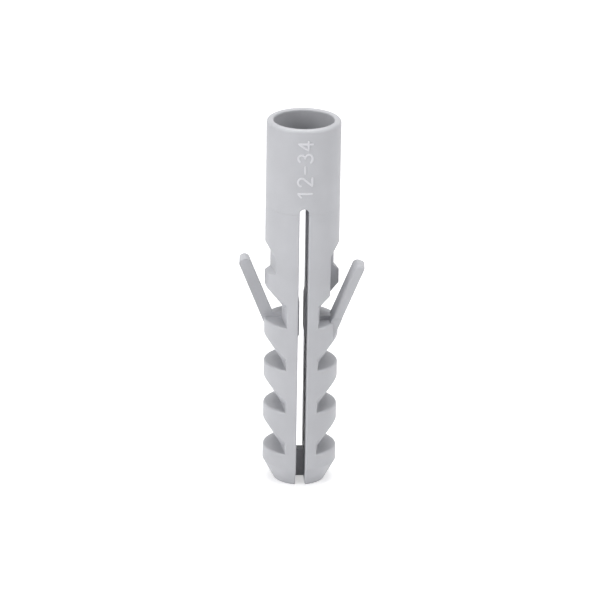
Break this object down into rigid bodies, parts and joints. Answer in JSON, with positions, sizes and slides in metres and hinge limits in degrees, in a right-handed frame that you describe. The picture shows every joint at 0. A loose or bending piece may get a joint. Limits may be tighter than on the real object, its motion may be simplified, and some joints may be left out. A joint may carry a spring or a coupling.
{
  "type": "wall anchor",
  "caption": "Expansion wall plug with a round collar, slotted saw-toothed spreading legs, folding side wings and a blunt conical tip.",
  "frame": {"origin": "centre of the flat end of the tip, on the bore's axis", "axes": "+Z along the bore from the tip to the mouth; the slot opens to -Y (front) and +Y (back); teeth and wings stand to -X (left) and +X (right)"},
  "size_m": [0.0164, 0.0096, 0.05],
  "materials": {
    "grey_nylon": "satin light grey moulded nylon"
  },
  "bodies": {
    "collar": {"sleeve": "grey_nylon"},
    "left_leg": {"left_leg": "grey_nylon"},
    "right_leg": {"right_leg": "grey_nylon", "tip_bridge": "grey_nylon"},
    "left_wing": {"left_wing": "grey_nylon"},
    "right_wing": {"right_wing": "grey_nylon"}
  },
  "joints": [
    {"name": "left_leg_spread", "type": "hinge", "parent": "collar", "child": "left_leg", "pos_m": [-0.00485, 0, 0.0384], "axis": [0, 1, 0], "range_deg": [0, 4], "stiffness_Nm_per_rad": 0.2},
    {"name": "right_leg_spread", "type": "hinge", "parent": "collar", "child": "right_leg", "pos_m": [0.00485, 0, 0.0384], "axis": [0, -1, 0], "range_deg": [0, 4], "stiffness_Nm_per_rad": 0.2},
    {"name": "left_wing_fold", "type": "hinge", "parent": "left_leg", "child": "left_wing", "pos_m": [-0.00377, 0.00135, 0.0232], "axis": [0, 1, 0], "range_deg": [0, 21.5], "stiffness_Nm_per_rad": 0.01},
    {"name": "right_wing_fold", "type": "hinge", "parent": "right_leg", "child": "right_wing", "pos_m": [0.00377, -0.00135, 0.0232], "axis": [0, -1, 0], "range_deg": [0, 21.5], "stiffness_Nm_per_rad": 0.01}
  ],
  "couplings": [
    {"joint": "right_leg_spread", "follows": "left_leg_spread", "ratio": 1}
  ]
}
